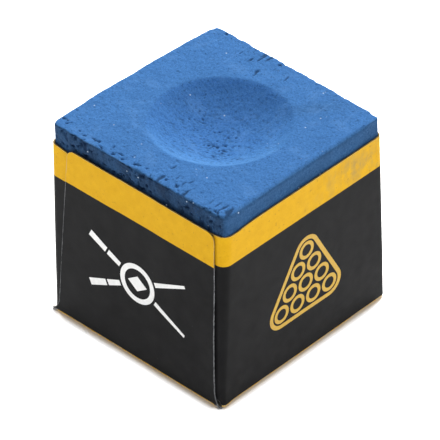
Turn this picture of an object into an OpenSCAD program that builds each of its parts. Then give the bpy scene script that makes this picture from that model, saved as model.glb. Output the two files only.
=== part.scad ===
// Cue chalk cube: a pressed abrasive block with a dished top, standing in a folded paper label.
// Frame: +Z up, origin at the centre of the base, -Y is the front flap, +X the right eared panel.
// The label is one die-cut sheet. A base panel carries two eared panels, which fold up first and
// wrap their ears round the block's vertical corners, and two flaps, which are glued over the ears.

/* [Chalk block] */
// Width of the block between the two eared panels
block_x = 21.5; // [20:0.1:24]
// Depth of the block between the two flaps
block_y = 21.0; // [20:0.1:24]
// Height of the block
block_h = 21.6; // [18:0.05:24]
// Radius of the block's vertical corners
block_corner_r = 0.45; // [0.3:0.05:0.8]
// Worn bevel round the top and bottom edges of the block
block_bevel = 0.3; // [0.1:0.05:0.8]
// Diameter of the cue-tip dish at its rim
dish_d = 13.6; // [8:0.1:16]
// Radius of the ball that shapes the dish
dish_ball_r = 10.6; // [9:0.1:16]

/* [Label paper] */
// Thickness of the printed paper
paper_t = 0.12; // [0.1:0.01:0.2]
// Height of the front flap's top edge
front_flap_h = 19.95; // [16:0.05:20]
// Height of the back flap's top edge
back_flap_h = 19.8; // [16:0.05:20]
// Height of the right panel's top edge
right_panel_h = 19.9; // [16:0.05:20]
// Height of the left panel's top edge
left_panel_h = 19.5; // [16:0.05:20]
// Outside radius of the label at its vertical corners
fold_r = 0.8; // [0.7:0.05:1.3]
// How far the folds stand off the block at the base of the front side
front_slack = 0.3; // [0.2:0.05:1]
// How far the folds stand off the block at the base of the back side
back_slack = 1.5; // [0.2:0.05:1.6]

/* [Ears and flaps] */
// Reach of an ear past the vertical fold
ear_w = 7.4; // [3:0.1:8]
// Height at which the ear's slanted lower edge reaches its free edge
ear_foot_h = 3.6; // [1:0.1:6]
// How far the ear's top edge falls from the vertical fold to its free edge
ear_drop = 1.0; // [0.6:0.1:2]
// Gap between the base fold and an ear's lower edge at the vertical fold
ear_gap = 0.8; // [0.4:0.1:1.5]
// Distance from the label's side to the flap's edge, at the top
flap_inset_top = 1.8; // [1.2:0.1:3]
// How far the front flap's top is cut off centre, towards the right panel
flap_lean = 0.6; // [-1:0.1:1]
// Distance from the label's side to the flap's edge, just above the base
flap_inset_foot = 0.8; // [0.4:0.1:1.2]
// Height over which the flap widens to the base fold
flap_foot_h = 1.2; // [0.6:0.1:2]
// Radius of the flap's top corners
flap_tip_r = 0.9; // [0.5:0.1:2]

/* [Glue] */
// Thickness of the glue between the paper and the block
glue_t = 0.13; // [0.1:0.01:0.2]
// Thickness of the glue between an ear and the flap over it
film_t = 0.04; // [0.03:0.01:0.08]
// Width of the glued patch on each side
patch_w = 16; // [10:0.5:18]
// Height of the glued patch on each side
patch_h = 13; // [8:0.5:14]

/* [Hidden] */
$fn = 96;

chalk_blue = [0.27, 0.52, 0.80];
ink_black = [0.13, 0.13, 0.14];
ink_gold = [0.88, 0.68, 0.22];
glue_tan = [0.86, 0.80, 0.62];

// Outside half width of the label across the eared panels
label_half_x = block_x / 2 + glue_t + paper_t;
// The fold axis of a vertical corner
fold_x = label_half_x - fold_r;
// Bottom face of the block, above the base paper and its glue
block_z = paper_t + glue_t;
// The block stands nearer the front fold than the back fold; the base panel is centred instead
block_centre = [0, (front_slack - back_slack) / 2, 0];
// Height of the ball's centre above the block's top face
dish_rise = sqrt(pow(dish_ball_r, 2) - pow(dish_d / 2, 2));
// From an ear's inside face to the flap's inside face
flap_step = paper_t + film_t;
// Height of the glued patches above the base
patch_z = right_panel_h - patch_h - 3;
// Longer than any panel, for parts that are cut to height afterwards
over = 30;

// Outline of the block seen from above
module rounded_rectangle(w, d, r) {
    square([w - 2 * r, d], center = true);
    square([w, d - 2 * r], center = true);
    for (sx = [-1, 1], sy = [-1, 1])
        translate([sx * (w / 2 - r), sy * (d / 2 - r)]) circle(r);
}

// Prism along Y whose section is a w by h rectangle with bevelled corners
module bevelled_bar(w, h, len, bevel) {
    rotate([90, 0, 0])
        linear_extrude(len, center = true)
            polygon([
                [-w / 2 + bevel, 0], [w / 2 - bevel, 0], [w / 2, bevel], [w / 2, h - bevel],
                [w / 2 - bevel, h], [-w / 2 + bevel, h], [-w / 2, h - bevel], [-w / 2, bevel],
            ]);
}

// The walls and the glue are drawn round a block that is centred on the Z axis, and are moved to
// the block's centre at the end

// Places its children on the back side: y = 0 is the ears' inside face, which leans in to meet
// the block at the top and stands off it by the slack at the base
module on_back_side(slack) {
    translate([0, block_y / 2 + slack, paper_t])
        rotate([atan((slack - glue_t) / front_flap_h), 0, 0])
            children();
}

// A sheet t thick in the XZ plane, from y = 0 outwards, in the outline of its children
module upright_sheet(t) {
    translate([0, t, 0]) rotate([90, 0, 0]) linear_extrude(t) children();
}

// The back half of a right panel h high: the flat panel, its vertical fold and its ear. The panel
// and the fold run on upwards, to be cut to height with the other half
module back_half_of_eared_panel(h) {
    free_x = fold_x - ear_w;
    translate([label_half_x - paper_t, paper_t - fold_r - over / 2, -1])
        cube([paper_t, over / 2, over]);
    translate([fold_x, paper_t - fold_r, ear_gap])
        linear_extrude(over)
            intersection() {
                difference() {
                    circle(fold_r);
                    circle(fold_r - paper_t);
                }
                square(fold_r);
            }
    upright_sheet(paper_t)
        polygon([[fold_x, ear_gap], [fold_x, h], [free_x, h - ear_drop], [free_x, ear_foot_h]]);
}

// An eared panel on the +X side, cut to height
module eared_panel(h) {
    intersection() {
        union() {
            on_back_side(back_slack) back_half_of_eared_panel(h);
            mirror([0, 1, 0]) on_back_side(front_slack) back_half_of_eared_panel(h);
        }
        translate([0, -over / 2, paper_t]) cube([over, over, h - paper_t]);
    }
}

// Outline of a flap: it widens to the base fold, and its top leans to one side and has rounded
// corners
module flap_outline(h, lean) {
    foot_x = label_half_x - flap_inset_foot;
    tip_x = label_half_x - flap_inset_top;
    shoulder = h - flap_tip_r;
    polygon([
        [-label_half_x + glue_t, -1], [label_half_x - glue_t, -1], [label_half_x - glue_t, 0],
        [foot_x, flap_foot_h], [tip_x + lean, shoulder], [-tip_x + lean, shoulder],
        [-foot_x, flap_foot_h], [-label_half_x + glue_t, 0],
    ]);
    translate([lean - tip_x + flap_tip_r, shoulder - flap_tip_r])
        square([2 * (tip_x - flap_tip_r), 2 * flap_tip_r]);
    for (side = [-1, 1])
        translate([lean + side * (tip_x - flap_tip_r), shoulder]) circle(flap_tip_r);
}

// A flap on the back side, over the ears, cut off at the base fold
module flap(slack, h, lean) {
    difference() {
        on_back_side(slack)
            translate([0, flap_step, 0]) upright_sheet(paper_t) flap_outline(h - paper_t, lean);
        translate([-over / 2, 0, paper_t - over]) cube(over);
    }
}

// Glue on the back side: a film over both ears, and a pad between them that reaches the block
module flap_glue(slack) {
    gap_half = fold_x - ear_w - film_t;
    on_back_side(slack)
        translate([-patch_w / 2, paper_t, patch_z]) cube([patch_w, film_t, patch_h]);
    difference() {
        on_back_side(slack)
            translate([-gap_half, -slack - 1, patch_z + patch_h / 2])
                cube([2 * gap_half, slack + 1 + paper_t, patch_h / 2]);
        translate([-over / 2, block_y / 2 - over, 0]) cube(over);
    }
}

// Glue between the block's side and an eared panel on the +X side
module panel_glue() {
    translate([block_x / 2, -patch_w / 2, patch_z]) cube([glue_t, patch_w, patch_h]);
}

// Pressed silica and abrasive block, with the dish that the cue tip turns in
module chalk_block() {
    color(chalk_blue)
        translate(block_centre + [0, 0, block_z])
            difference() {
                intersection() {
                    linear_extrude(block_h) rounded_rectangle(block_x, block_y, block_corner_r);
                    bevelled_bar(block_x, block_h, over, block_bevel);
                    rotate([0, 0, 90]) bevelled_bar(block_y, block_h, over, block_bevel);
                }
                translate([0, 0, block_h + dish_rise]) sphere(dish_ball_r);
            }
}

// The panel that the block stands on; all four folds run along its edges
module label_base() {
    base_half_y = (block_y + front_slack + back_slack) / 2 + flap_step + paper_t;
    color(ink_gold)
        translate([-label_half_x, -base_half_y, 0])
            cube([2 * label_half_x, 2 * base_half_y, paper_t]);
}

module label_right_panel() {
    color(ink_black) translate(block_centre) eared_panel(right_panel_h);
}

module label_left_panel() {
    color(ink_black) translate(block_centre) mirror([1, 0, 0]) eared_panel(left_panel_h);
}

module label_front_flap() {
    color(ink_black)
        translate(block_centre)
            mirror([0, 1, 0]) flap(front_slack, front_flap_h, flap_lean);
}

module label_back_flap() {
    color(ink_black) translate(block_centre) flap(back_slack, back_flap_h, lean = 0);
}

module base_glue_film() {
    color(glue_tan)
        translate(block_centre + [-patch_w / 2, -patch_w / 2, paper_t])
            cube([patch_w, patch_w, glue_t]);
}

module right_glue_film() {
    color(glue_tan) translate(block_centre) panel_glue();
}

module left_glue_film() {
    color(glue_tan) translate(block_centre) mirror([1, 0, 0]) panel_glue();
}

module front_glue_film() {
    color(glue_tan) translate(block_centre) mirror([0, 1, 0]) flap_glue(front_slack);
}

module back_glue_film() {
    color(glue_tan) translate(block_centre) flap_glue(back_slack);
}

chalk_block();
label_base();
label_right_panel();
label_left_panel();
label_front_flap();
label_back_flap();
base_glue_film();
right_glue_film();
left_glue_film();
front_glue_film();
back_glue_film();
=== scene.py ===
import itertools
import math

import bmesh
import bpy
import numpy as np
from mathutils import Matrix, Vector


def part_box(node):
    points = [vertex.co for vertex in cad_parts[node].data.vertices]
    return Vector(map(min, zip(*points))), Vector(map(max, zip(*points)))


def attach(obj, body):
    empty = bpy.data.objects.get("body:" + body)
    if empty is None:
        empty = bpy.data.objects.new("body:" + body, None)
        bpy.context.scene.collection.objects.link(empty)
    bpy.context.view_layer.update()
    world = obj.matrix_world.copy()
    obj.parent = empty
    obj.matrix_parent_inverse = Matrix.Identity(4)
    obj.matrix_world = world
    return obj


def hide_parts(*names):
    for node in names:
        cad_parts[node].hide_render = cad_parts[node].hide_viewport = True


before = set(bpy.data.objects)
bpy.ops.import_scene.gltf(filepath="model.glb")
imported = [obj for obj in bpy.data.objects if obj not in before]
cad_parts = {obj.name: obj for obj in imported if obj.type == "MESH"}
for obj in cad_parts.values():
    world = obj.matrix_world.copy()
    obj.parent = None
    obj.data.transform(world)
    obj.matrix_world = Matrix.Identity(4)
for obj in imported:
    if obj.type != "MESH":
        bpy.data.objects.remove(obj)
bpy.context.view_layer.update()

# A cue chalk cube: a pressed blue block with a dish for the cue tip, in a folded black and gold
# paper label. Lengths are in millimetres until a mesh is made. +Z is up, the front flap faces -Y
# and the right eared panel faces +X, as in the CAD model.

MM = 0.001
FRONT, BACK = -1, 1
LEFT, RIGHT = -1, 1


def box_mm(node):
    """The lowest and highest corners of a CAD node, in millimetres."""
    low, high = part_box(node)
    return np.array(low) / MM, np.array(high) / MM


BLOCK_LOW, BLOCK_HIGH = box_mm("chalk_block")
BASE_LOW, BASE_HIGH = box_mm("label_base")
PANEL_LOW, PANEL_HIGH = box_mm("label_right_panel")
GLUE_LOW, GLUE_HIGH = box_mm("right_glue_film")
BLOCK_CENTRE = (BLOCK_LOW + BLOCK_HIGH) / 2
BLOCK_HALF = (BLOCK_HIGH - BLOCK_LOW) / 2
PAPER_T = BASE_HIGH[2] - BASE_LOW[2]
GLUE_T = GLUE_HIGH[0] - GLUE_LOW[0]
HALF_X = BASE_HIGH[0]
HALF_Y = BASE_HIGH[1]

# Label
FLAP_STEP = HALF_Y - PANEL_HIGH[1]  # from the outside of an ear to the outside of the flap on it
FRONT_TOP = box_mm("label_front_flap")[1][2]
BACK_TOP = box_mm("label_back_flap")[1][2]
RIGHT_TOP = PANEL_HIGH[2]
LEFT_TOP = box_mm("label_left_panel")[1][2]
EAR_W = 7.4
EAR_FOOT_Z = 3.6
EAR_DROP = 1.0
EAR_GAP = 0.8
CREASE_R = 0.36
CREASE_INK_Z = 0.34
ROW_PITCH = 0.45
FRONT_BAND_Z = 16.2
BACK_BAND_Z = 16.1
RIGHT_BAND_Z = 16.44
LEFT_BAND_Z = 15.92
CREASE_WEAR_HALF_W = 0.08
INK_T = 0.012

# Marks: middles, as (across, up) on their side, and sizes
FRONT_CUES_AT = np.array([0.35, 9.1])
BACK_CUES_AT = np.array([0.0, 9.1])
CUES_HALF_LENGTH = 6.0
CUES_HALF_HEIGHT = 2.9
CUES_BALL_RADIUS = 1.9
CUES_LINE = 0.56
RACK_AT = np.array([-0.15, 9.4])
RACK_PITCH = 2.2
RACK_BALL_RADIUS = 0.80
RACK_LINE = 0.45

# Chalk block
GRID_CELLS = 236
SIDE_PITCH = 0.09
SIDE_DETAIL_DEPTH = 2.7
DISH_RADIUS = 6.8
DISH_BALL_RADIUS = 10.6
DISH_RIM_BLEND = 0.10
DISH_CENTRE = np.array([0.35, 0.10])
UNWORN_CORNER_R = 0.45
CORNER_SOFTNESS = 0.25
GROOVE_DEPTH = 0.10
PIT_DEPTH = 0.12
LOOSE_DEPTH = 0.14
SPOT_DEPTH = 0.03
SCORE_DEPTH = 0.12
HOLE_DEPTH = 0.18
# The block's four corners: x side, y side, radius, and how far the top is out of square there
BLOCK_CORNERS = [(LEFT, FRONT, 0.85, -0.04, -0.22), (RIGHT, FRONT, 0.85, -0.12, -0.06),
                 (RIGHT, BACK, 0.22, -0.10, 0.06), (LEFT, BACK, 0.95, 0.36, 0.40)]

# Lights: azimuth and elevation in degrees, distance and size in millimetres, power in watts
KEY_LIGHT = (204, 43, 600, 330, 5.3)
RIGHT_FILL = (117, 30, 600, 400, 0.37)
FLOOR_LIGHT = (190, 89.3, 600, 26, 5.6)
WORLD_STRENGTH = 0.42
FLOOR_HALF = 900.0
FLOOR_DROP = 0.02
FLOOR_LINES = 9

# Camera: its angles in degrees, and its distance, lens and aim in millimetres
CAMERA_AZIMUTH = 42.4
CAMERA_ELEVATION = 38.07
CAMERA_ROLL = 0.56
CAMERA_DISTANCE = 412.4
CAMERA_LENS = 360.7
CAMERA_AIM_Z = 11.2
CAMERA_AIM_RIGHT = 0.398
CAMERA_AIM_DOWN = 0.84


# ---------------------------------------------------------------- repeatable noise

HASH_FIRST = np.uint64(0x9E3779B97F4A7C15)
HASH_SECOND = np.uint64(0xBF58476D1CE4E5B9)


def cell_random(cells, seed):
    """A repeatable number from 0 to 1 for each whole-numbered cell."""
    mixed = np.full(cells.shape[:-1], seed + 1, np.uint64) * HASH_FIRST
    for column in np.moveaxis(cells.astype(np.int64), -1, 0):
        mixed = (mixed ^ column.astype(np.uint64)) * HASH_SECOND
        mixed ^= mixed >> np.uint64(31)
    return (mixed >> np.uint64(11)).astype(float) / 2.0**53


def ease(value, low=0.0, high=1.0):
    """0 below low and 1 above high, with a smooth rise between them."""
    share = np.clip((value - low) / (high - low), 0, 1)
    return share * share * (3 - 2 * share)


def noise(points, size, seed):
    """Smooth noise from -1 to 1, with lumps about size across."""
    scaled = points / size
    cell = np.floor(scaled)
    rise = ease(scaled - cell)
    total = 0.0
    for corner in itertools.product((0, 1), repeat=points.shape[-1]):
        weight = np.prod(np.where(np.array(corner) == 1, rise, 1 - rise), axis=-1)
        total = total + weight * cell_random(cell + corner, seed)
    return 2 * total - 1


def fractal(points, size, octaves, seed):
    """Noise with finer noise added, each octave half the size and half the strength."""
    return sum(noise(points, size / 2**k, seed + k) / 2**k for k in range(octaves))


# ---------------------------------------------------------------- meshes

def grid_faces(rows, columns, start=0):
    """The quads of a grid of vertices that are numbered row by row."""
    index = start + np.arange(rows * columns).reshape(rows, columns)
    corners = [index[:-1, :-1], index[:-1, 1:], index[1:, 1:], index[1:, :-1]]
    return np.stack(corners, axis=-1).reshape(-1, 4)


def new_piece(name, points, faces, materials, replaces=(), face_material=None,
              values=None, sharp_angle=40):
    """A closed mesh that rides on the object. Points are in millimetres, and values holds
    numbers for each point, which the materials read by name."""
    mesh = bpy.data.meshes.new(name)
    mesh.from_pydata((np.asarray(points) * MM).tolist(), [], [list(map(int, f)) for f in faces])
    for material in materials:
        mesh.materials.append(material)
    if face_material is not None:
        mesh.polygons.foreach_set("material_index", np.asarray(face_material, np.int32))
    for key, numbers in (values or {}).items():
        layer = mesh.attributes.new(key, "FLOAT", "POINT")
        layer.data.foreach_set("value", np.asarray(numbers, np.float32).ravel())
    work = bmesh.new()
    work.from_mesh(mesh)
    bmesh.ops.recalc_face_normals(work, faces=work.faces)
    work.to_mesh(mesh)
    work.free()
    mesh.shade_smooth()
    mesh.set_sharp_from_angle(angle=math.radians(sharp_angle))
    piece = bpy.data.objects.new(name, mesh)
    bpy.context.scene.collection.objects.link(piece)
    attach(piece, "root")
    if replaces:
        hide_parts(*replaces)
    return piece


def surface_normals(surface):
    """Outward unit normals of a grid of points round the middle of the object."""
    along_rows = np.gradient(surface, axis=0)
    along_columns = np.gradient(surface, axis=1)
    normals = np.cross(along_columns, along_rows)
    normals /= np.linalg.norm(normals, axis=-1, keepdims=True)
    middle = np.array([0, 0, BLOCK_CENTRE[2]])
    outward = np.sign(np.sum(normals * (surface - middle)))
    return normals * outward


def sheet_piece(name, surface, materials, replaces, values):
    """Paper of the label's thickness, whose outside is the given grid of points. The materials
    are the printed outside, the plain inside and the cut edge."""
    rows, columns = surface.shape[:2]
    count = rows * columns
    inside = surface - surface_normals(surface) * PAPER_T
    outer_faces = grid_faces(rows, columns)
    inner_faces = grid_faces(rows, columns, count)
    index = np.arange(count).reshape(rows, columns)
    border = np.concatenate([index[0, :], index[1:, -1], index[-1, -2::-1], index[-2:0:-1, 0]])
    after = np.roll(border, -1)
    rim_faces = np.stack([border, after, after + count, border + count], axis=-1)
    faces = np.concatenate([outer_faces, inner_faces, rim_faces])
    kinds = np.repeat([0, 1, 2], [len(outer_faces), len(inner_faces), len(rim_faces)])
    points = np.concatenate([surface.reshape(-1, 3), inside.reshape(-1, 3)])
    doubled = {key: np.tile(np.ravel(numbers), 2) for key, numbers in values.items()}
    return new_piece(name, points, faces, materials, replaces, kinds, doubled)


# ---------------------------------------------------------------- materials

class Shader:
    """A node material with a Principled shader, and short ways to add the nodes it needs."""

    def __init__(self, name, **constants):
        self.material = bpy.data.materials.new(name)
        self.material.use_nodes = True
        self.tree = self.material.node_tree
        self.surface = self.tree.nodes["Principled BSDF"]
        for socket, number in constants.items():
            self.surface.inputs[socket.replace("_", " ")].default_value = number
        self.place = self.node("ShaderNodeTexCoord").outputs["Object"]

    def node(self, kind, **settings):
        made = self.tree.nodes.new(kind)
        for key, setting in settings.items():
            setattr(made, key, setting)
        return made

    def feed(self, socket, source):
        """Links a node's output to the socket, or sets the socket to a plain value."""
        if isinstance(source, bpy.types.NodeSocket):
            self.tree.links.new(source, socket)
        else:
            socket.default_value = source

    def to_surface(self, **sources):
        for socket, source in sources.items():
            self.feed(self.surface.inputs[socket.replace("_", " ")], source)

    def value(self, key):
        """The number that the mesh holds for each point under this name."""
        return self.node("ShaderNodeAttribute", attribute_name=key).outputs["Fac"]

    def stretched_place(self, x, y, z):
        """Object coordinates with each axis scaled, so that a pattern can run along one axis."""
        made = self.node("ShaderNodeVectorMath", operation="MULTIPLY")
        self.feed(made.inputs[0], self.place)
        made.inputs[1].default_value = (x, y, z)
        return made.outputs[0]

    def noise(self, size, detail=3.0, roughness=0.55, place=None):
        """Noise from 0 to 1 with lumps about size millimetres across."""
        made = self.node("ShaderNodeTexNoise")
        self.feed(made.inputs["Vector"], place or self.place)
        made.inputs["Scale"].default_value = 1 / (size * MM)
        made.inputs["Detail"].default_value = detail
        made.inputs["Roughness"].default_value = roughness
        return made.outputs["Fac"]

    def spots(self, spacing):
        """The distance to scattered points this many millimetres apart, as a share of it."""
        made = self.node("ShaderNodeTexVoronoi")
        self.feed(made.inputs["Vector"], self.place)
        made.inputs["Scale"].default_value = 1 / (spacing * MM)
        return made.outputs["Distance"]

    def spread(self, source, low, high, to_low=0.0, to_high=1.0):
        """Maps low..high to to_low..to_high, and holds the result at its ends."""
        made = self.node("ShaderNodeMapRange")
        self.feed(made.inputs["Value"], source)
        for key, number in zip(("From Min", "From Max", "To Min", "To Max"),
                               (low, high, to_low, to_high)):
            made.inputs[key].default_value = number
        return made.outputs["Result"]

    def maths(self, operation, first, second=0.0):
        made = self.node("ShaderNodeMath", operation=operation)
        self.feed(made.inputs[0], first)
        self.feed(made.inputs[1], second)
        return made.outputs[0]

    def blend(self, share, first, second):
        """A colour share of the way from first to second. Each is a colour or an output."""
        made = self.node("ShaderNodeMix", data_type="RGBA")
        self.feed(made.inputs["Factor"], share)
        for key, colour in (("A", first), ("B", second)):
            socket = next(s for s in made.inputs if s.name == key and s.type == "RGBA")
            self.feed(socket, colour if isinstance(colour, bpy.types.NodeSocket) else (*colour, 1))
        return next(s for s in made.outputs if s.type == "RGBA")

    def bump(self, height, depth, under=None):
        """Tilts the surface by a height from 0 to 1 that stands for depth millimetres."""
        made = self.node("ShaderNodeBump")
        made.inputs["Strength"].default_value = 1.0
        made.inputs["Distance"].default_value = depth * MM
        self.feed(made.inputs["Height"], height)
        if under is not None:
            self.feed(made.inputs["Normal"], under)
        return made.outputs["Normal"]


def chalk_material():
    """Pressed blue chalk: grainy and dull, with pale grit. The mesh holds three numbers for each
    point: painted shade in its pits and grooves, dust together with a painted highlight on the
    dish's near wall, and painted shade on the sides, the edge bevels and the dish's far wall."""
    shader = Shader("pressed_chalk", Specular_IOR_Level=0.10, Diffuse_Roughness=1.0)
    cloudy = shader.spread(shader.noise(3.0, 4), 0.32, 0.68)
    grainy = shader.spread(shader.noise(0.20, 4, 0.75), 0.34, 0.66)
    powder = shader.blend(cloudy, (0.076, 0.262, 0.620), (0.096, 0.312, 0.715))
    grain = shader.blend(grainy, (0.048, 0.190, 0.480), (0.128, 0.378, 0.815))
    body = shader.blend(0.62, powder, grain)
    # Painted shade: the dark blue that the sides, the edge bevels and the dish's far wall are
    # blended towards.
    side = shader.blend(grainy, (0.010, 0.026, 0.060), (0.030, 0.062, 0.130))
    painted_shaded = shader.blend(shader.value("painted_shade"), body, side)
    # Dust, and a painted highlight on the dish's near wall, lighten the chalk towards pale blue.
    dusted_and_painted_light = shader.blend(shader.value("dust_and_painted_light"), painted_shaded, (0.180, 0.430, 0.830))
    pocked = shader.spread(shader.noise(0.24, 2, 0.5), 0.60, 0.70, 0.0, 0.50)
    flawed = shader.blend(pocked, dusted_and_painted_light, (0.020, 0.080, 0.230))
    # Painted shade: the pits, grooves and holes go nearly black.
    painted_hollow_shade = shader.blend(shader.value("painted_hollow_shade"), flawed, (0.006, 0.022, 0.070))
    grit = shader.spread(shader.spots(1.55), 0.024, 0.064, 0.90, 0.0)
    colour = shader.blend(grit, painted_hollow_shade, (0.66, 0.82, 0.98))
    coarse = shader.bump(shader.noise(0.42, 3, 0.65), 0.070)
    fine = shader.bump(shader.noise(0.13, 3, 0.7), 0.055, under=coarse)
    shader.to_surface(Base_Color=colour, Normal=fine,
                      Roughness=shader.spread(grainy, 0, 1, 0.86, 0.98))
    return shader.material


def gold_share(shader):
    """1 where the label is printed gold and 0 where it is black, with a slightly ragged edge."""
    ragged = shader.spread(shader.noise(0.12, 2), 0.0, 1.0, -0.02, 0.02)
    return shader.spread(shader.maths("ADD", shader.value("ink_gold"), ragged), -0.015, 0.015)


def print_material():
    """The label's printed side. "ink_gold" is how far a point is inside the gold areas, "cut"
    how far it is from a cut edge or a worn crease, and "smudge" is where chalk has rubbed off."""
    shader = Shader("printed_paper", Specular_IOR_Level=0.028)
    mottle = shader.spread(shader.noise(0.9, 4, 0.6), 0.3, 0.7)
    screen = shader.spread(shader.noise(0.17, 3, 0.7), 0.3, 0.7)
    gold = shader.blend(mottle, (0.650, 0.358, 0.0085), (0.725, 0.412, 0.0140))
    gold = shader.blend(shader.maths("MULTIPLY", screen, 0.30), gold, (0.560, 0.285, 0.008))
    speck = shader.spread(shader.noise(0.33, 2, 0.5), 0.66, 0.72, 0.0, 0.45)
    gold = shader.blend(speck, gold, (0.34, 0.17, 0.02))
    rub = shader.spread(shader.noise(1.3, 5, 0.65, place=shader.stretched_place(1, 1, 0.7)),
                        0.42, 0.78)
    rub = shader.maths("MULTIPLY", rub, shader.value("smudge"))
    gold = shader.blend(rub, gold, (0.17, 0.18, 0.13))
    black = shader.blend(shader.spread(shader.noise(1.6, 4), 0.3, 0.7),
                         (0.0095, 0.0095, 0.0100), (0.0130, 0.0130, 0.0136))
    lint = shader.spread(shader.spots(2.1), 0.012, 0.022, 0.35, 0.0)
    black = shader.blend(lint, black, (0.25, 0.26, 0.28))
    ink = shader.blend(gold_share(shader), black, gold)
    worn_width = shader.spread(shader.noise(0.7, 4, 0.7), 0.3, 0.75, 0.005, 0.070)
    worn = shader.maths("SUBTRACT", worn_width, shader.value("cut"))
    worn = shader.spread(worn, -0.01, 0.02, 0.0, 0.8)
    bare = shader.blend(gold_share(shader), (0.26, 0.27, 0.28), (0.50, 0.41, 0.24))
    colour = shader.blend(worn, ink, bare)
    waves = shader.bump(shader.noise(5.0, 2), 0.06)
    fibres = shader.bump(shader.noise(0.16, 3, 0.65), 0.006, under=waves)
    shader.to_surface(Base_Color=colour, Normal=fibres,
                      Roughness=shader.spread(mottle, 0, 1, 0.38, 0.50))
    return shader.material


def cut_edge_material():
    """The paper's cut edge: grey where the print is black and brown where it is gold."""
    shader = Shader("paper_edge", Specular_IOR_Level=0.15)
    fibres = shader.noise(0.3, 4, 0.7)
    grey = shader.blend(shader.spread(fibres, 0.35, 0.65), (0.035, 0.036, 0.040),
                        (0.26, 0.27, 0.28))
    brown = shader.blend(shader.spread(fibres, 0.35, 0.65), (0.20, 0.12, 0.02),
                         (0.46, 0.29, 0.06))
    shader.to_surface(Base_Color=shader.blend(gold_share(shader), grey, brown),
                      Normal=shader.bump(fibres, 0.02),
                      Roughness=shader.spread(fibres, 0.3, 0.7, 0.75, 0.95))
    return shader.material


def bare_paper_material():
    """Bare paper: the label's inside."""
    shader = Shader("paper_inside", Specular_IOR_Level=0.25)
    fibres = shader.noise(0.5, 5, 0.7)
    colour = shader.blend(shader.spread(fibres, 0.3, 0.7), (0.40, 0.37, 0.31), (0.50, 0.47, 0.41))
    shader.to_surface(Base_Color=colour, Normal=shader.bump(fibres, 0.02),
                      Roughness=shader.spread(fibres, 0.3, 0.7, 0.75, 0.95))
    return shader.material


def ink_material(name, pale, dark):
    """A printed mark: flat ink with a slight mottle."""
    shader = Shader(name, Specular_IOR_Level=0.25)
    mottle = shader.spread(shader.noise(0.35, 3, 0.6), 0.3, 0.7)
    shader.to_surface(Base_Color=shader.blend(mottle, dark, pale),
                      Normal=shader.bump(shader.noise(0.16, 3), 0.004),
                      Roughness=shader.spread(mottle, 0, 1, 0.36, 0.48))
    return shader.material


def glue_material():
    """Dried glue: dull, yellowish and lumpy."""
    shader = Shader("dried_glue", Specular_IOR_Level=0.4)
    lumps = shader.noise(1.2, 4, 0.6)
    colour = shader.blend(shader.spread(lumps, 0.3, 0.7), (0.52, 0.43, 0.26), (0.70, 0.62, 0.42))
    shader.to_surface(Base_Color=colour, Normal=shader.bump(lumps, 0.05),
                      Roughness=shader.spread(lumps, 0.3, 0.7, 0.35, 0.6))
    return shader.material


def floor_material():
    """A plain white sheet of glossy acrylic."""
    shader = Shader("white_floor", Specular_IOR_Level=0.5)
    haze = shader.noise(40, 2)
    shader.to_surface(Base_Color=shader.blend(haze, (0.86, 0.86, 0.86), (0.88, 0.88, 0.88)),
                      Roughness=shader.spread(haze, 0, 1, 0.12, 0.16),
                      Emission_Color=(1, 1, 1, 1), Emission_Strength=0.07)
    return shader.material


# ---------------------------------------------------------------- the chalk block

def corner_radius(flat):
    """The radius of the block's corner in the quarter that each point lies in."""
    radius = np.zeros(flat.shape[:-1])
    for side_x, side_y, corner_r, _, _ in BLOCK_CORNERS:
        radius[(flat[..., 0] * side_x >= 0) & (flat[..., 1] * side_y >= 0)] = corner_r
    return radius[..., None]


def rounded_square(grid):
    """Moves the points of a square grid, from -1 to 1, into the block's outline, whose vertical
    corners are rounded. Returns points in millimetres from the block's centre."""
    half = BLOCK_HALF[:2]
    flat = grid * half
    radius = corner_radius(flat)
    start = half - radius
    share = np.clip((np.abs(flat) - start) / radius, 0, 1)
    bent = share * np.sqrt(1 - share[..., ::-1] ** 2 / 2)
    return np.where(share.min(axis=-1, keepdims=True) > 0,
                    np.sign(flat) * (start + radius * bent), flat)


def nearest_side(flat):
    """The outward direction of the nearest side, which turns smoothly at the corners, and the
    distance to the outline."""
    gap = BLOCK_HALF[:2] - np.abs(flat)
    radius = corner_radius(flat)
    over = np.maximum(radius - gap, 0)
    inward = np.where(over.max(axis=-1) > 0, radius[..., 0] - np.linalg.norm(over, axis=-1),
                      gap.min(axis=-1))
    nearness = np.exp(-(gap - gap.min(axis=-1, keepdims=True)) / CORNER_SOFTNESS)
    direction = np.sign(flat) * nearness
    length = np.linalg.norm(direction, axis=-1, keepdims=True)
    return direction / np.maximum(length, 1e-9), inward


def facing(direction):
    """How much a direction faces the right, left, back and front sides, each from 0 to 1."""
    x, y = direction[..., 0], direction[..., 1]
    return (np.maximum(x, 0) ** 2, np.maximum(-x, 0) ** 2,
            np.maximum(y, 0) ** 2, np.maximum(-y, 0) ** 2)


def edge_radius(direction, flat):
    """How far the top edge is worn round. The front and back edges are sharp and broken, the
    right edge is a soft bevel."""
    right, left, back, front = facing(direction)
    broken = ease(noise(flat, 0.9, 301), 0.1, 1.0)
    soft = 0.50 - 0.34 * ease(flat[..., 1], 7.5, 9.5)
    worn = soft * right + 0.34 * left + (0.12 + 0.26 * broken) * back
    rounded = 0.16 + 0.26 * np.maximum(broken, ease(flat[..., 0], 5.0, 9.0))
    worn = worn + rounded * front
    return np.maximum(worn, 0.10) * (1 + 0.2 * noise(flat, 2.2, 302))


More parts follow.
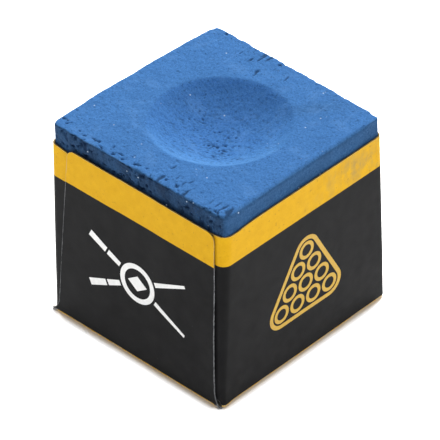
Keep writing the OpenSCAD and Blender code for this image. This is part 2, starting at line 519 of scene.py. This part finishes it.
def outline_shift(flat, direction, inward, depth):
    """How far a point of the block moves from the exact prism: the top is out of square, and its
    edges are bowed, wavy or ragged. This fades where the label holds the block in shape, and its
    corners are sharper there."""
    share = flat / BLOCK_HALF[:2]
    shift = np.zeros(flat.shape)
    for side_x, side_y, _, shift_x, shift_y in BLOCK_CORNERS:
        weight = (1 + side_x * share[..., 0]) * (1 + side_y * share[..., 1]) / 4
        shift = shift + weight[..., None] * np.array([shift_x, shift_y])
    right, left, back, front = facing(direction)
    bow = left * (0.24 * (1 - (share[..., 1] + 0.2) ** 2) + 0.05 * noise(flat, 3.0, 312))
    bow = bow + back * 0.11 * (1 - (share[..., 0] - 0.05) ** 2)
    wave = bow + 0.03 * right * noise(flat, 2.5, 311)
    wave = wave + 0.08 * back * fractal(flat, 0.9, 2, 313) + 0.05 * front * noise(flat, 0.7, 315)
    shift = shift + direction * (wave * (1 - ease(inward, 0.0, 1.2)))[..., None]
    shift = shift * (1 - ease(depth, 0.6, 2.5))[..., None]
    worn = np.maximum(corner_radius(flat)[..., 0] - UNWORN_CORNER_R, 0) * (math.sqrt(2) - 1)
    unworn = worn * 4 * np.prod(direction**2, axis=-1) * ease(depth, 0.7, 2.2)
    return shift + direction * unworn[..., None]


def dish_depth(flat):
    """How far the cue-tip dish lies below the block's top. Its rim is a small soft step."""
    away = np.linalg.norm(flat - DISH_CENTRE, axis=-1)
    away = away * (1 + 0.012 * noise(flat, 3.0, 321))
    rise = math.sqrt(DISH_BALL_RADIUS**2 - DISH_RADIUS**2)
    ball = np.sqrt(np.maximum(DISH_BALL_RADIUS**2 - away**2, 0)) - rise
    return (ball + np.sqrt(ball**2 + DISH_RIM_BLEND**2)) / 2


def hollows(points, size, crowding, seed):
    """Ragged hollows about size across: 1 at their middles. crowding says how much of the
    surface they take at each point, from 0 to about 1."""
    height = fractal(points, size, 2, seed)
    level = 1.0 - crowding
    return ease(height, level, level + 0.30) * ease(crowding, 0.0, 0.15)


def dish_crowding(flat):
    """Hollows crowd near the lowest part of the dish, and to one side of it."""
    x, y = flat[..., 0], flat[..., 1]
    middle = np.exp(-(((x - 1.1) / 1.5) ** 2) - ((y + 0.5) / 1.3) ** 2)
    ring = np.exp(-(((x + 1.4) / 2.4) ** 2) - ((y - 0.9) / 1.6) ** 2)
    near = np.exp(-(((x - 2.6) / 1.6) ** 2) - ((y + 2.2) / 1.3) ** 2)
    return 0.72 * middle + 0.50 * ring + 0.42 * near


def groove_crowding(flat):
    """Short grooves run in from the front edge near the front corner, and lie near the back
    corner."""
    x, y = flat[..., 0], flat[..., 1]
    front = ease(-y, 6.6, 9.6) * ease(x, -3.5, 5.0)
    back = ease(y, 6.0, 9.0) * np.exp(-(((x + 4.0) / 3.5) ** 2)) * 0.8
    return 0.58 * np.maximum(front, back)


def rim_crowding(flat):
    """Loose chalk near the front edge, in the left corner and in spots along the back edge."""
    x, y = flat[..., 0], flat[..., 1]
    front = ease(-y, 8.6, 10.2) * (0.42 + 0.30 * noise(flat, 2.5, 331))
    corner = ease(-x - y, 16.5, 20.5) * 0.66
    back = ease(y, 9.2, 10.4) * 0.36
    return np.maximum.reduce([front, corner, back])


def top_marks(flat):
    """The hollows in the block's top, each from 0 to 1: grooves, cracked pits and loose spots."""
    bent = flat + 0.5 * np.stack([noise(flat, 1.6, 342), noise(flat, 1.6, 343)], axis=-1)
    groove = hollows(bent * np.array([1.0, 0.20]), 0.30, groove_crowding(flat), 341)
    crowd = dish_crowding(flat)
    pit = hollows(flat, 0.36, 0.92 * crowd, 351)
    crack_line = 1 - ease(np.abs(noise(flat, 1.1, 361)), 0.0, 0.12)
    crack = crack_line * ease(noise(flat, 0.6, 362), -0.3, 0.4) * ease(crowd, 0.20, 0.50)
    loose = hollows(flat, 0.42, rim_crowding(flat), 371)
    rough = hollows(flat, 0.30, 0.55 * ease(dish_depth(flat), 0.2, 1.6), 391)
    spot = hollows(flat, 0.28, 0.22 + 0.12 * noise(flat, 2.5, 381), 382)
    return groove, np.maximum(pit, 0.8 * crack), loose, np.maximum(rough, spot)


def right_painted_shade(flat):
    """A faint band of painted shade from the dish's rim towards the right corner."""
    along = (flat - np.array([5.5, 7.5])) @ np.array([[0.62, -0.78], [0.78, 0.62]])
    return np.exp(-((along[..., 0] / 3.2) ** 2) - (along[..., 1] / 0.8) ** 2) * 2.0


def scratches(flat):
    """A few pale scratches behind the dish."""
    line = np.abs(noise(flat * np.array([1.0, 0.35]), 2.4, 551))
    return (1 - ease(line, 0.0, 0.035)) * ease(flat[..., 1], 5.5, 8.0)


def side_marks(place, depth, direction):
    """The hollows in the block's sides. The front side is scored from top to bottom."""
    _, left, back, front = facing(direction)
    along = np.stack([place, depth], axis=-1)
    rough = front * (0.42 + 0.34 * noise(along, 3.5, 401)) + 0.30 * back + 0.20 * left
    score = 0.8 * hollows(along * np.array([1.0, 0.34]), 0.30, 0.88 * rough, 411)
    hole = hollows(along, 0.36, rough, 421)
    return score, hole


def side_row(ring, depth, inset, tilt):
    """One row of points round the block's sides, with its numbers for painted shade in the
    hollows and for painted shade on the sides. depth and inset are measured from the block's top
    edge, and tilt is the surface's slope there."""
    flat, direction, place = ring
    depth = np.broadcast_to(depth, place.shape)
    right, left, back, front = facing(direction)
    score, hole = side_marks(place, depth, direction)
    along = np.stack([place, depth], axis=-1)
    lumps = (0.010 + 0.045 * front + 0.03 * back) * fractal(along, 0.9, 3, 441)
    raised = np.minimum(lumps - np.maximum(SCORE_DEPTH * score, HOLE_DEPTH * hole), 0.03)
    shift = outline_shift(flat, direction, np.zeros(place.shape), depth)
    moved = flat + shift + direction * (raised * np.sin(tilt) - inset)[..., None]
    height = BLOCK_HALF[2] - depth + raised * np.cos(tilt)
    streak = noise(along * np.array([1.0, 0.15]), 0.5, 451)
    # Painted shade: the sides are darker than the top, the front side most, with faint streaks,
    # growing as the edge turns down to the side.
    painted_shade = (0.92 + 0.07 * streak) * front + 0.55 * back + 0.64 * right + 0.55 * left
    painted_shade = painted_shade * (0.93 + 0.07 * noise(along, 1.5, 452)) * ease(tilt, 0.35, 1.15)
    # Painted shade in the scores and holes.
    painted_hollow_shade = np.maximum(0.70 * score, 0.85 * hole)
    return np.column_stack([moved, height]), painted_hollow_shade, np.clip(painted_shade, 0, 1)


def block_top(flat, direction, inward, radius):
    """The worn top of the block: its points, and their numbers for painted shade in the hollows,
    for painted shade, and for dust with a painted highlight.
    """
    tilt = np.pi / 4 * np.clip(1 - inward / radius, 0, 1)
    inset = np.where(inward < radius, radius * (1 - np.sin(tilt)) - inward, 0)
    drop = radius * (1 - np.cos(tilt))
    groove, pit, loose, spot = top_marks(flat)
    lumps = 0.030 * fractal(flat, 2.6, 2, 501) + 0.022 * fractal(flat, 0.5, 3, 511)
    carved = np.maximum.reduce([GROOVE_DEPTH * groove, PIT_DEPTH * pit, LOOSE_DEPTH * loose,
                                SPOT_DEPTH * spot])
    raised = lumps - carved
    dish = dish_depth(flat)
    height = BLOCK_HALF[2] - drop - dish + raised * np.cos(tilt)
    move = direction * (raised * np.sin(tilt) - inset)[..., None]
    top_flat = flat + move + outline_shift(flat, direction, inward, drop)
    points = np.concatenate([top_flat, height[..., None]], axis=-1)

    right, _, _, front = facing(direction)
    # Painted shade in the grooves, pits and loose spots.
    painted_hollow_shade = np.maximum.reduce([0.66 * groove, 0.66 * pit, 0.64 * loose, 0.26 * spot])
    # Painted shade: the edge bevels darken as they turn to the front and the right, a faint band
    # runs from the dish's rim to the right corner, and the dish's far wall is darker.
    painted_shade = 0.5 * front * ease(tilt, 0.15, 0.75) + 0.22 * right * ease(tilt, 0.25, 0.78)
    painted_shade = painted_shade + 0.10 * right_painted_shade(flat)
    painted_shade = painted_shade + 0.10 * ease(dish, 0.1, 0.6) * ease(flat @ np.array([-0.6, 0.8]), 0.0, 4.0)
    dust_and_painted_light = 0.22 * ease(fractal(flat, 1.4, 3, 541), 0.2, 1.0) + 0.3 * scratches(flat)
    # A painted highlight: the dish's near wall is lighter.
    dust_and_painted_light = dust_and_painted_light + 0.20 * ease(dish, 0.05, 0.5) * ease(flat @ np.array([0.6, -0.8]), 2.0, 5.5)
    return points.reshape(-1, 3), painted_hollow_shade.ravel(), painted_shade.ravel(), dust_and_painted_light.ravel()


def block_sides(ring, radii):
    """The rows of points down the block's sides: the lower half of the worn edge, fine rows to
    where the label hides the sides, and a few coarse rows to the bottom."""
    rows = [side_row(ring, radii * (1 - np.cos(turn)), radii * (1 - np.sin(turn)), turn)
            for turn in np.linspace(np.pi / 4, np.pi / 2, 5)[1:]]
    fine_depths = np.arange(SIDE_PITCH, SIDE_DETAIL_DEPTH, SIDE_PITCH)
    coarse_depths = np.linspace(SIDE_DETAIL_DEPTH, 2 * BLOCK_HALF[2] - 0.8, 7)
    rows += [side_row(ring, radii + depth, 0.0, np.pi / 2)
             for depth in [*fine_depths, *coarse_depths]]
    rows.append(side_row(ring, 2 * BLOCK_HALF[2], 0.25, np.pi / 2))
    return rows


def block_faces(index, edge, row_count):
    """The faces of the top's grid, of the rows below its edge, and of the bottom."""
    faces = grid_faces(*index.shape).tolist()
    above = edge
    for number in range(row_count):
        below = index.size + number * len(edge) + np.arange(len(edge))
        quads = np.stack([above, np.roll(above, -1), np.roll(below, -1), below], axis=-1)
        faces.extend(quads.tolist())
        above = below
    faces.append(above.tolist())
    return faces


def chalk_block(chalk):
    """The block: a fine grid over the top, with rows of points below its edge."""
    line = np.linspace(-1, 1, GRID_CELLS + 1)
    flat = rounded_square(np.stack(np.meshgrid(line, line, indexing="ij"), axis=-1))
    direction, inward = nearest_side(flat)
    radius = edge_radius(direction, flat)
    top, painted_hollow_shade, painted_shade, dust_and_painted_light = block_top(flat, direction, inward, radius)

    index = np.arange(inward.size).reshape(inward.shape)
    edge = np.concatenate([index[:-1, 0], index[-1, :-1], index[:0:-1, -1], index[0, :0:-1]])
    edge_flat = flat.reshape(-1, 2)[edge]
    steps = np.linalg.norm(np.roll(edge_flat, -1, axis=0) - edge_flat, axis=-1)
    ring = (edge_flat, direction.reshape(-1, 2)[edge], np.cumsum(steps))
    rows = block_sides(ring, radius.ravel()[edge])

    points = np.concatenate([top, *[row[0] for row in rows]]) + BLOCK_CENTRE
    values = {
        "painted_hollow_shade": np.concatenate([painted_hollow_shade, *[row[1] for row in rows]]),
        "painted_shade": np.concatenate([painted_shade, *[row[2] for row in rows]]),
        "dust_and_painted_light": np.concatenate([dust_and_painted_light, np.zeros(len(edge) * len(rows))]),
    }
    return new_piece("chalk_block_pressed", points, block_faces(index, edge, len(rows)), [chalk],
                     ["chalk_block"], values=values, sharp_angle=75)


# ---------------------------------------------------------------- the label's shape

def ear_y(side, z):
    """The outside face of the ears on the front or back side. It leans in to the block's top."""
    base = PANEL_LOW[1] if side == FRONT else PANEL_HIGH[1]
    block_face = BLOCK_LOW[1] if side == FRONT else BLOCK_HIGH[1]
    top = block_face + side * (GLUE_T + PAPER_T)
    return base + (top - base) * z / FRONT_TOP


def crease_inset(z):
    """How far the paper has turned in towards the base at this height."""
    left = np.clip(CREASE_R - z, 0, CREASE_R)
    return CREASE_R - np.sqrt(CREASE_R**2 - left**2)


def height_shares(top):
    """Row heights as shares of the panel's height, close together at the crease and the top."""
    crease = CREASE_R * (1 - np.cos(np.linspace(0, np.pi / 2, 7)))
    crease = crease[crease < CREASE_INK_Z - 0.02]
    low = [CREASE_INK_Z - 0.02, CREASE_INK_Z, CREASE_INK_Z + 0.03, CREASE_R + 0.1, 0.6, 0.8, 1.0]
    middle = np.arange(1.0 + ROW_PITCH, top - 1.4, ROW_PITCH)
    high = top - np.array([1.3, 1.1, 0.9, 0.7, 0.5, 0.35, 0.22, 0.12, 0.06, 0.03, 0])
    return np.concatenate([crease, low, middle, high]) / top


def from_crease_wear(z):
    """How far a height is from the strip along the base crease where the ink is worn."""
    strip_z = CREASE_INK_Z - CREASE_WEAR_HALF_W
    return np.clip(np.abs(z - strip_z) - CREASE_WEAR_HALF_W, 0, None)


def paper_wave(first, second, seed):
    """How far the paper stands off a flat face, at two coordinates of that face."""
    place = np.stack(np.broadcast_arrays(first, second), axis=-1)
    return 0.035 * noise(place, 8.0, seed) + 0.010 * noise(place, 2.5, seed + 1)


def panel_columns():
    """The columns of an eared panel, from the free edge of the front ear to that of the back
    ear. Each is (share of the way from front to back, side, bend angle, reach of the ear)."""
    ear = np.concatenate([EAR_W - np.array([0, 0.04, 0.1, 0.3]), np.linspace(6.5, 0.4, 14)])
    fold = np.linspace(np.pi / 2, 0, 11)
    flat = np.concatenate([[0.01, 0.025, 0.045], np.linspace(0.07, 0.93, 38),
                           [0.955, 0.975, 0.99]])
    front = [(0, FRONT, np.pi / 2, reach) for reach in ear]
    front += [(0, FRONT, bend, 0) for bend in fold]
    middle = [(share, FRONT, 0, 0) for share in flat]
    back = [(1, BACK, bend, reach) for share, side, bend, reach in reversed(front)]
    return np.array(front + middle + back).T


def panel_low_edge(share, bend, reach):
    """The lowest point of each column: the base crease under the panel, a snipped corner beside
    the fold, and the slanted cut under an ear."""
    snip = EAR_GAP * ease(bend, 0.5, 1.4)
    return snip + (EAR_FOOT_Z - EAR_GAP) * reach / EAR_W


def panel_x(side_x, y, z):
    """The outside face of the flat part of an eared panel, as a distance from the middle. The
    left panel's front corner is pressed in a little towards its foot."""
    pressed = 0.20 * (1 - z / LEFT_TOP) * ease(-y, 8.8, 10.6) if side_x == LEFT else 0.0
    return HALF_X - 0.02 - pressed + paper_wave(y, z, 700 + side_x)


def eared_panel(name, side_x, folds, top, band, materials, node, smudged):
    """A panel with two ears. side_x is RIGHT or LEFT. folds are the fold radii (at the base, at
    the top) of the front and the back corner, and band is the height where the gold begins."""
    share, side, bend, reach = (row[None, :] for row in panel_columns())
    low = panel_low_edge(share, bend, reach)
    high = top(share) - EAR_DROP * reach / EAR_W
    z = low + (high - low) * height_shares(RIGHT_TOP)[:, None]
    front_r, back_r = (base + (upper - base) * z / RIGHT_TOP for base, upper in folds)
    radius = np.where(side == FRONT, front_r, back_r)
    y = (ear_y(FRONT, z) + front_r) * (1 - share) + (ear_y(BACK, z) - back_r) * share
    face = panel_x(side_x, y, z)
    curl = 0.12 * np.exp(-((z / 0.7) ** 2)) * ease(-share, -0.05, 0) * np.cos(bend)
    x = face - radius + (radius + curl) * np.cos(bend) - reach - crease_inset(z)
    y = y + side * radius * np.sin(bend)
    surface = np.stack([side_x * x, y, z], axis=-1)
    cut = np.minimum(high - z, np.where(reach > 0, EAR_W - reach, 9))
    cut = np.minimum(cut, np.where(low > CREASE_R, z - low, 9))
    cut = np.minimum(cut, 0.025 + from_crease_wear(z))
    gold = np.maximum(z - band, CREASE_INK_Z - z)
    smudge = smudged * ease(share, 0.40, 0.85) * np.exp(-(((z - 18.2) / 1.7) ** 2))
    values = {"ink_gold": gold, "cut": cut, "smudge": smudge + 0 * z}
    return sheet_piece(name, surface, materials, [node], values)


class Flap:
    """The outline of a flap in the plane of its side: x from the middle, z up. Its left and
    right edges are each given by their x at the base crease, above the foot, and at the top."""

    def __init__(self, side, top, slope, left, right, foot_z, corner_r, seed):
        self.side, self.top, self.slope = side, top, slope
        self.left, self.right = left, right
        self.foot_z, self.corner_r, self.seed = foot_z, corner_r, seed

    def edge(self, z, ends, sign):
        """The x of the left or right edge at a height."""
        foot, low, high = ends
        straight = low + (high - low) * np.clip(z - self.foot_z, 0, None) / self.top
        flare = np.clip(1 - z / self.foot_z, 0, 1) ** 2
        spread = straight + (foot - straight) * flare
        left = np.clip(z - (self.top - self.corner_r), 0, self.corner_r)
        rounding = self.corner_r - np.sqrt(self.corner_r**2 - left**2)
        return spread - sign * rounding

    def y(self, x, z):
        """The outside face of the flap. It dips a little between the ears beneath it."""
        between = 1 - ease(np.abs(x), 1.6, 3.4)
        stand = FLAP_STEP - 0.04 * between * ease(z, 2, 6) + 0.6 * paper_wave(x, z, self.seed)
        return ear_y(self.side, z) + self.side * stand


def flap_piece(name, flap, band, materials, node, lifted):
    """A flap over the ears. Its base crease runs along the base panel's edge, and one edge
    stands a little proud of the ear."""
    across = np.concatenate([[0, 0.002, 0.005, 0.012, 0.03, 0.06], np.linspace(0.09, 0.91, 44),
                             [0.94, 0.97, 0.988, 0.995, 0.998, 1]])[None, :]
    straight_z = flap.top * height_shares(flap.top)[:, None]
    left = flap.edge(straight_z, flap.left, -1)
    right = flap.edge(straight_z, flap.right, 1)
    x = left + (right - left) * across
    z = straight_z * (1 + flap.slope * x / flap.top)
    lift = lifted * np.sin(np.pi * np.clip((z - 0.9) / 12.5, 0, 1)) * ease(x, right - 1.8, right)
    y = flap.y(x, z) + flap.side * lift - flap.side * crease_inset(z)
    surface = np.stack([x, y, z], axis=-1)
    cut = np.minimum(np.minimum(x - left, right - x), flap.top - straight_z)
    cut = np.minimum(cut, 0.030 + from_crease_wear(z))
    crease_gold = np.minimum(CREASE_INK_Z - z, np.minimum(x - left, right - x) - 0.4)
    gold = np.maximum(z - band, crease_gold)
    values = {"ink_gold": gold, "cut": cut, "smudge": 0 * z}
    return sheet_piece(name, surface, materials, [node], values)


def base_piece(materials):
    """The base panel, between the four creases. Its gold side is underneath."""
    half_x = HALF_X - CREASE_R - 0.005
    half_y = HALF_Y - CREASE_R - 0.005
    x = np.linspace(-half_x, half_x, 40)[None, :]
    y = np.linspace(-half_y, half_y, 40)[:, None]
    surface = np.stack(np.broadcast_arrays(x, y, 0.0), axis=-1)
    ones = np.ones(surface.shape[:2])
    values = {"ink_gold": ones, "cut": 9 * ones, "smudge": 0.25 * ones}
    return sheet_piece("label_base_sheet", surface, materials, ["label_base"],
                       values)


# ---------------------------------------------------------------- printed marks

def stroke_stations(path, half_widths):
    """Left and right points of a stroke along a path."""
    along = np.gradient(path, axis=0)
    along /= np.linalg.norm(along, axis=-1, keepdims=True)
    sideways = np.column_stack([-along[:, 1], along[:, 0]]) * np.reshape(half_widths, (-1, 1))
    return path + sideways, path - sideways


def ring_stations(centre, radius, width, steps=48):
    """Outer and inner points of a ring."""
    turn = np.linspace(0, 2 * np.pi, steps, endpoint=False)
    spokes = np.column_stack([np.cos(turn), np.sin(turn)])
    return centre + spokes * (radius + width / 2), centre + spokes * (radius - width / 2)


def mark_piece(name, shapes, on_face, material):
    """Ink on a face of the label. Each shape is (one side's points, the other side's points,
    closed), and on_face(points, lift) places points of the face in space."""
    points, faces = [], []
    for first, second, closed in shapes:
        start = sum(len(p) for p in points)
        count = len(first)
        points += [on_face(first, INK_T), on_face(second, INK_T),
                   on_face(second, -INK_T), on_face(first, -INK_T)]
        for here in range(count if closed else count - 1):
            after = (here + 1) % count
            for edge in range(4):
                beside = (edge + 1) % 4
                faces.append([start + edge * count + here, start + edge * count + after,
                              start + beside * count + after, start + beside * count + here])
        if not closed:
            faces.append([start + edge * count for edge in range(4)])
            faces.append([start + edge * count + count - 1 for edge in range(4)])
    return new_piece(name, np.concatenate(points), faces, [material], sharp_angle=30)


def crossed_cues(centre, half_length, half_height, ball_radius, line):
    """Two crossed cues behind a ball with a diamond on it, in lines that don't overlap."""
    diamond = np.array([[-0.62, 0.0], [0.0, 0.0], [0.62, 0.0]]) * ball_radius
    shapes = [(*ring_stations(centre, ball_radius, line), True),
              (*stroke_stations(centre + diamond, [0.02, 0.46 * ball_radius, 0.02]), False)]
    tip = np.array([half_length, half_height])
    length = np.linalg.norm(tip)
    gap = ball_radius + line
    wrap = 0.62 * length
    # The shaft, the forearm and the butt: start, end, and line width at each as a share of line
    parts = [(gap, length, 0.92, 0.56), (-gap, -wrap, 1.0, 1.15),
             (-wrap - 0.26, -length, 1.2, 1.35)]
    for lean in (-1, 1):
        direction = tip / length * np.array([1, lean])
        for start, end, first_width, last_width in parts:
            reach = np.linspace(start, end, 14)[:, None]
            half_widths = np.linspace(first_width, last_width, 14) * line / 2
            path = centre + reach * direction
            shapes.append((*stroke_stations(path, half_widths), False))
    return shapes


def ball_rack(centre, pitch, ball_radius, line):
    """A triangular rack with rounded corners round ten ball rings."""
    shapes = []
    row_height = pitch * math.sqrt(3) / 2
    for row in range(4):
        for column in range(row + 1):
            x = (column - row / 2) * pitch
            z = (1.5 - row) * row_height
            shapes.append((*ring_stations(centre + np.array([x, z]), ball_radius, line * 0.85, 32),
                           True))
    corners = [np.array([0.0, 1.5 * row_height]), np.array([-1.5 * pitch, -1.5 * row_height]),
               np.array([1.5 * pitch, -1.5 * row_height])]
    corner_r = ball_radius + line * 1.35
    rail = []
    for number, corner in enumerate(corners):
        start = math.radians(30 + 120 * number)
        turn = np.linspace(start, start + math.radians(120), 12)
        rail.append(corner + corner_r * np.column_stack([np.cos(turn), np.sin(turn)]))
        nearby = corners[(number + 1) % 3]
        outward = np.array([math.cos(turn[-1]), math.sin(turn[-1])]) * corner_r
        share = np.linspace(0, 1, 16)[1:-1, None]
        rail.append(corner + outward + share * (nearby - corner))
    rail = centre + np.concatenate(rail)
    along = np.roll(rail, -1, axis=0) - np.roll(rail, 1, axis=0)
    along /= np.linalg.norm(along, axis=-1, keepdims=True)
    sideways = np.column_stack([-along[:, 1], along[:, 0]]) * line / 2
    shapes.append((rail + sideways, rail - sideways, True))
    return shapes


def on_flap(flap):
    """Places points (x, z) on a flap's outside face, a given distance off it."""
    def place(points, lift):
        x, z = points[:, 0], points[:, 1]
        return np.column_stack([x, flap.y(x, z) + flap.side * lift, z])
    return place


def on_panel(side_x):
    """Places points (y, z) on a panel's outside face, a given distance off it."""
    def place(points, lift):
        y, z = points[:, 0], points[:, 1]
        return np.column_stack([side_x * (panel_x(side_x, y, z) + lift), y, z])
    return place


# ---------------------------------------------------------------- floor, lights and camera

def direction_to(azimuth, elevation):
    """The direction out from the object at these angles in degrees. Azimuth 0 is the -Y side,
    90 is +X."""
    across = math.radians(azimuth)
    up = math.radians(elevation)
    return Vector((math.sin(across) * math.cos(up), -math.cos(across) * math.cos(up),
                   math.sin(up)))


def white_floor():
    """A wide plain floor just under the label's base."""
    line = np.linspace(-FLOOR_HALF, FLOOR_HALF, FLOOR_LINES)
    x, y = np.meshgrid(line, line)
    points = np.stack([x, y, np.full(x.shape, -FLOOR_DROP)], axis=-1).reshape(-1, 3)
    mesh = bpy.data.meshes.new("floor")
    mesh.from_pydata((points * MM).tolist(), [], grid_faces(*x.shape).tolist())
    mesh.materials.append(floor_material())
    floor = bpy.data.objects.new("floor", mesh)
    bpy.context.scene.collection.objects.link(floor)
    return floor


def soft_box(name, azimuth, elevation, distance, size, power):
    """A square soft box that faces the object."""
    outward = direction_to(azimuth, elevation)
    lamp = bpy.data.lights.new(name, "AREA")
    lamp.shape = "SQUARE"
    lamp.size = size * MM
    lamp.energy = power
    light = bpy.data.objects.new(name, lamp)
    light.location = Vector((0, 0, BLOCK_CENTRE[2] * MM)) + outward * distance * MM
    light.rotation_mode = "QUATERNION"
    light.rotation_quaternion = (-outward).to_track_quat("-Z", "Y")
    bpy.context.scene.collection.objects.link(light)
    return light


def studio(floor):
    """Even white surroundings, a key light from behind and a little to the camera's right, a
    fill from the right, and a light from above that reaches only the floor, so that it stays
    white round the object."""
    world = bpy.data.worlds.new("studio")
    world.use_nodes = True
    backdrop = world.node_tree.nodes["Background"]
    backdrop.inputs["Color"].default_value = (1, 1, 1, 1)
    backdrop.inputs["Strength"].default_value = WORLD_STRENGTH
    bpy.context.scene.world = world
    soft_box("key_light", *KEY_LIGHT)
    soft_box("right_fill", *RIGHT_FILL)
    floor_light = soft_box("floor_light", *FLOOR_LIGHT)
    floor_only = bpy.data.collections.new("floor_only")
    floor_only.objects.link(floor)
    floor_light.light_linking.receiver_collection = floor_only
    bpy.context.scene.view_settings.view_transform = "Standard"


def camera():
    """Sets the camera at the angle, roll and distance given at the top."""
    across = math.radians(CAMERA_AZIMUTH)
    roll = math.radians(CAMERA_ROLL)
    outward = direction_to(CAMERA_AZIMUTH, CAMERA_ELEVATION)
    level = Vector((math.cos(across), math.sin(across), 0))
    upward = outward.cross(level)
    aim = Vector((0, BLOCK_CENTRE[1], CAMERA_AIM_Z))
    aim = aim + level * CAMERA_AIM_RIGHT - upward * CAMERA_AIM_DOWN
    right = math.cos(roll) * level + math.sin(roll) * upward
    top = math.cos(roll) * upward - math.sin(roll) * level
    data = bpy.data.cameras.new("camera")
    data.lens = CAMERA_LENS
    data.clip_start, data.clip_end = 0.01, 10
    view = bpy.data.objects.new("camera", data)
    turned = Matrix((right, top, outward)).transposed()
    view.matrix_world = Matrix.Translation((aim + outward * CAMERA_DISTANCE) * MM) @ turned.to_4x4()
    bpy.context.scene.collection.objects.link(view)
    bpy.context.scene.camera = view


# ---------------------------------------------------------------- the object

def right_top_edge(share):
    """The right panel's top edge, which dips beside its front fold."""
    return RIGHT_TOP + 0.05 - 0.2 * np.exp(-(((share - 0.02) / 0.08) ** 2))


def left_top_edge(share):
    """The left panel's top edge, which is a little higher at the front."""
    return LEFT_TOP + 0.05 * (1 - share)


def label_and_marks():
    """The folded label: base, eared panels, flaps and the marks printed on them."""
    inside = bare_paper_material()
    paper = [print_material(), inside, cut_edge_material()]
    white = ink_material("white_ink", (0.86, 0.86, 0.85), (0.76, 0.76, 0.75))
    gold = ink_material("gold_ink", (0.58, 0.345, 0.012), (0.48, 0.280, 0.010))

    base_piece(paper)
    eared_panel("label_right_panel_sheet", RIGHT, ((0.52, 1.05), (0.50, 0.65)), right_top_edge,
                RIGHT_BAND_Z, paper, "label_right_panel", 0.7)
    eared_panel("label_left_panel_sheet", LEFT, ((0.80, 0.62), (0.70, 0.70)), left_top_edge,
                LEFT_BAND_Z, paper, "label_left_panel", 0.3)
    front = Flap(FRONT, FRONT_TOP, slope=-0.007, left=(-10.9, -9.8, -8.45),
                 right=(10.9, 10.2, 9.8), foot_z=1.7, corner_r=0.85, seed=801)
    back = Flap(BACK, BACK_TOP, slope=0.006, left=(-10.4, -10.1, -9.3),
                right=(10.3, 10.0, 9.2), foot_z=1.5, corner_r=0.9, seed=821)
    flap_piece("label_front_flap_sheet", front, FRONT_BAND_Z, paper, "label_front_flap", 0.10)
    flap_piece("label_back_flap_sheet", back, BACK_BAND_Z, paper, "label_back_flap", 0.05)

    cues_size = (CUES_HALF_LENGTH, CUES_HALF_HEIGHT, CUES_BALL_RADIUS, CUES_LINE)
    front_cues = crossed_cues(FRONT_CUES_AT, *cues_size)
    mark_piece("front_cue_mark", front_cues, on_flap(front), white)
    back_cues = crossed_cues(BACK_CUES_AT, *cues_size)
    mark_piece("back_cue_mark", back_cues, on_flap(back), white)
    rack = ball_rack(RACK_AT, RACK_PITCH, RACK_BALL_RADIUS, RACK_LINE)
    mark_piece("right_rack_mark", rack, on_panel(RIGHT), gold)
    mark_piece("left_rack_mark", rack, on_panel(LEFT), gold)


def glue():
    """The CAD's glue films keep their shape and get a material."""
    material = glue_material()
    for name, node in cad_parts.items():
        if name.endswith("glue_film"):
            node.data.materials.clear()
            node.data.materials.append(material)


camera()
studio(white_floor())
chalk_block(chalk_material())
label_and_marks()
glue()

bpy.context.view_layer.update()
